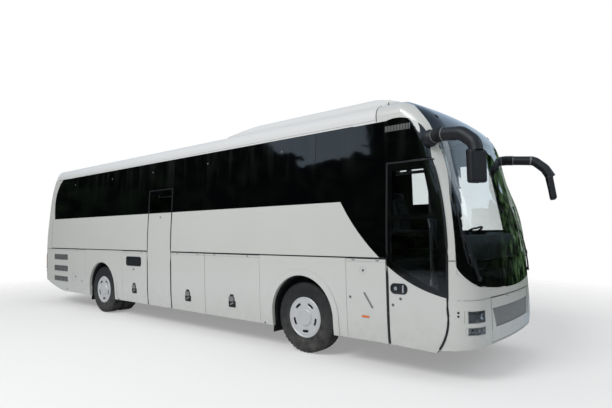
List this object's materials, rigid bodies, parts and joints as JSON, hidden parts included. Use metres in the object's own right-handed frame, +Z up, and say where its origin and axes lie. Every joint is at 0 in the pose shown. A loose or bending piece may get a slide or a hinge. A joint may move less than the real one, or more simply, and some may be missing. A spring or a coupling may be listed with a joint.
{
  "type": "coach bus",
  "caption": "Two-axle high-floor coach with a raked glazed front, swing-out doors, luggage flaps, steered front wheels and a hollow seated saloon.",
  "frame": {"origin": "on the ground, midway between the mirrors' front and the tail, on the centre plane", "axes": "+X forward, +Y to the coach's left, +Z up"},
  "size_m": [12.3539, 2.95, 3.74],
  "materials": {
    "black_cap": "gloss",
    "cast": "dark",
    "floor": "vinyl",
    "frame_steel": "matt",
    "glass_clear": "clear",
    "glass_dark": "tinted",
    "lamp": "clear",
    "mesh": "grey",
    "paint": "gloss",
    "plastic": "grained",
    "roof_paint": "gloss",
    "seat": "woven",
    "tail_lamp": "gloss",
    "tyre": "matt",
    "wheel": "silver"
  },
  "bodies": {
    "coach": {"dashboard": "plastic", "driver_seat": "seat", "engine": "cast", "entry_stairs": "floor", "front_axle": "cast", "front_bumper": "paint", "front_cap": "black_cap", "front_panel": "paint", "front_pillars": "paint", "headlamps": "lamp", "luggage_racks": "plastic", "mirrors": "plastic", "passenger_seats": "seat", "rear_axle": "cast", "rear_bumper": "paint", "rear_glass": "glass_dark", "rear_wall": "paint", "roof": "roof_paint", "roof_pod": "roof_paint", "saloon_floor": "floor", "side_glass": "glass_dark", "side_wall_left": "paint", "side_wall_right": "paint", "skirts": "paint", "tail_lamps": "tail_lamp", "underframe": "frame_steel", "windscreen": "glass_clear", "windscreen_frame": "frame_steel"},
    "engine_lid": {"engine_lid": "cast"},
    "front_door": {"front_door": "paint", "front_door_glass": "glass_clear"},
    "front_door_arm": {"front_door_arm": "frame_steel"},
    "front_lid": {"front_lid": "paint", "grille": "mesh"},
    "heater_flap_left": {"heater_flap_left": "paint"},
    "heater_flap_right": {"heater_flap_right": "paint"},
    "knuckle_left": {"knuckle_left": "cast"},
    "knuckle_right": {"knuckle_right": "cast"},
    "luggage_flap_front_left": {"luggage_flap_front_left": "paint"},
    "luggage_flap_front_right": {"luggage_flap_front_right": "paint"},
    "luggage_flap_mid_left": {"luggage_flap_mid_left": "paint"},
    "luggage_flap_rear_left": {"luggage_flap_rear_left": "paint"},
    "luggage_flap_rear_right": {"luggage_flap_rear_right": "paint"},
    "mid_door": {"mid_door": "paint", "mid_door_glass": "glass_clear"},
    "mid_door_arm": {"mid_door_arm": "frame_steel"},
    "radiator_flap_left": {"radiator_flap_left": "paint"},
    "radiator_flap_right": {"radiator_flap_right": "paint"},
    "service_flap_left": {"service_flap_left": "paint"},
    "service_flap_right": {"service_flap_right": "paint"},
    "steering_wheel": {"steering_wheel": "plastic"},
    "front_wheel_left": {"tyre_front_left": "tyre", "wheel_front_left": "wheel"},
    "front_wheel_right": {"tyre_front_right": "tyre", "wheel_front_right": "wheel"},
    "rear_wheels_left": {"tyres_rear_left": "tyre", "wheels_rear_left": "wheel"},
    "rear_wheels_right": {"tyres_rear_right": "tyre", "wheels_rear_right": "wheel"}
  },
  "joints": [
    {"name": "steer_left", "type": "hinge", "parent": "coach", "child": "knuckle_left", "pos_m": [3.215, 0.96, 0.525], "axis": [0, 0, 1], "range_deg": [-40, 40]},
    {"name": "front_wheel_left_spin", "type": "hinge", "parent": "knuckle_left", "child": "front_wheel_left", "pos_m": [3.215, 1.045, 0.525], "axis": [0, 1, 0], "continuous": true},
    {"name": "rear_wheels_left_spin", "type": "hinge", "parent": "coach", "child": "rear_wheels_left", "pos_m": [-2.847, 1.075, 0.525], "axis": [0, 1, 0], "continuous": true},
    {"name": "steer_right", "type": "hinge", "parent": "coach", "child": "knuckle_right", "pos_m": [3.215, -0.96, 0.525], "axis": [0, 0, 1], "range_deg": [-40, 40]},
    {"name": "front_wheel_right_spin", "type": "hinge", "parent": "knuckle_right", "child": "front_wheel_right", "pos_m": [3.215, -1.045, 0.525], "axis": [0, 1, 0], "continuous": true},
    {"name": "rear_wheels_right_spin", "type": "hinge", "parent": "coach", "child": "rear_wheels_right", "pos_m": [-2.847, -1.075, 0.525], "axis": [0, 1, 0], "continuous": true},
    {"name": "steering_wheel_turn", "type": "hinge", "parent": "coach", "child": "steering_wheel", "pos_m": [5.045, 0.63, 1.75], "axis": [-0.4695, 0, 0.8829], "range_deg": [-720, 720]},
    {"name": "front_door_swing", "type": "hinge", "parent": "coach", "child": "front_door_arm", "pos_m": [5.245, -1.13, 1.5], "axis": [0, 0, -1], "range_deg": [-135, 0]},
    {"name": "front_door_leaf", "type": "hinge", "parent": "front_door_arm", "child": "front_door", "pos_m": [4.795, -1.13, 1.5], "axis": [0, 0, -1], "range_deg": [0, 135]},
    {"name": "mid_door_swing", "type": "hinge", "parent": "coach", "child": "mid_door_arm", "pos_m": [-0.271, -1.13, 1.5], "axis": [0, 0, -1], "range_deg": [-135, 0]},
    {"name": "mid_door_leaf", "type": "hinge", "parent": "mid_door_arm", "child": "mid_door", "pos_m": [-0.721, -1.13, 1.5], "axis": [0, 0, -1], "range_deg": [0, 135]},
    {"name": "service_flap_left_hinge", "type": "hinge", "parent": "coach", "child": "service_flap_left", "pos_m": [-0.1981, 1.26786, 1.425], "axis": [1, 0, 0], "range_deg": [0, 95]},
    {"name": "service_flap_right_hinge", "type": "hinge", "parent": "coach", "child": "service_flap_right", "pos_m": [-0.1981, -1.26786, 1.425], "axis": [-1, 0, 0], "range_deg": [0, 95]},
    {"name": "luggage_flap_front_left_hinge", "type": "hinge", "parent": "coach", "child": "luggage_flap_front_left", "pos_m": [-0.1981, 1.26786, 1.425], "axis": [1, 0, 0], "range_deg": [0, 95]},
    {"name": "luggage_flap_front_right_hinge", "type": "hinge", "parent": "coach", "child": "luggage_flap_front_right", "pos_m": [-0.1981, -1.26786, 1.425], "axis": [-1, 0, 0], "range_deg": [0, 95]},
    {"name": "luggage_flap_rear_left_hinge", "type": "hinge", "parent": "coach", "child": "luggage_flap_rear_left", "pos_m": [-0.1981, 1.26786, 1.425], "axis": [1, 0, 0], "range_deg": [0, 95]},
    {"name": "luggage_flap_rear_right_hinge", "type": "hinge", "parent": "coach", "child": "luggage_flap_rear_right", "pos_m": [-0.1981, -1.26786, 1.425], "axis": [-1, 0, 0], "range_deg": [0, 95]},
    {"name": "luggage_flap_mid_left_hinge", "type": "hinge", "parent": "coach", "child": "luggage_flap_mid_left", "pos_m": [-0.1981, 1.26786, 1.425], "axis": [1, 0, 0], "range_deg": [0, 95]},
    {"name": "heater_flap_left_hinge", "type": "hinge", "parent": "coach", "child": "heater_flap_left", "pos_m": [-0.1981, 1.26786, 1.425], "axis": [1, 0, 0], "range_deg": [0, 95]},
    {"name": "heater_flap_right_hinge", "type": "hinge", "parent": "coach", "child": "heater_flap_right", "pos_m": [-0.1981, -1.26786, 1.425], "axis": [-1, 0, 0], "range_deg": [0, 95]},
    {"name": "radiator_flap_left_hinge", "type": "hinge", "parent": "coach", "child": "radiator_flap_left", "pos_m": [-0.2957, 1.26786, 1.425], "axis": [1, 0, 0], "range_deg": [0, 95]},
    {"name": "radiator_flap_right_hinge", "type": "hinge", "parent": "coach", "child": "radiator_flap_right", "pos_m": [-0.2957, -1.26786, 1.425], "axis": [-1, 0, 0], "range_deg": [0, 95]},
    {"name": "front_lid_hinge", "type": "hinge", "parent": "coach", "child": "front_lid", "pos_m": [5.85731, 0, 0.969], "axis": [0, -1, 0], "range_deg": [0, 80]},
    {"name": "engine_lid_hinge", "type": "hinge", "parent": "coach", "child": "engine_lid", "pos_m": [-6.13526, 0, 1.866], "axis": [0, 1, 0], "range_deg": [0, 80]}
  ],
  "couplings": [
    {"joint": "steer_right", "follows": "steer_left", "ratio": 1},
    {"joint": "steering_wheel_turn", "follows": "steer_left", "ratio": 18},
    {"joint": "front_door_leaf", "follows": "front_door_swing", "ratio": -1},
    {"joint": "mid_door_leaf", "follows": "mid_door_swing", "ratio": -1}
  ]
}
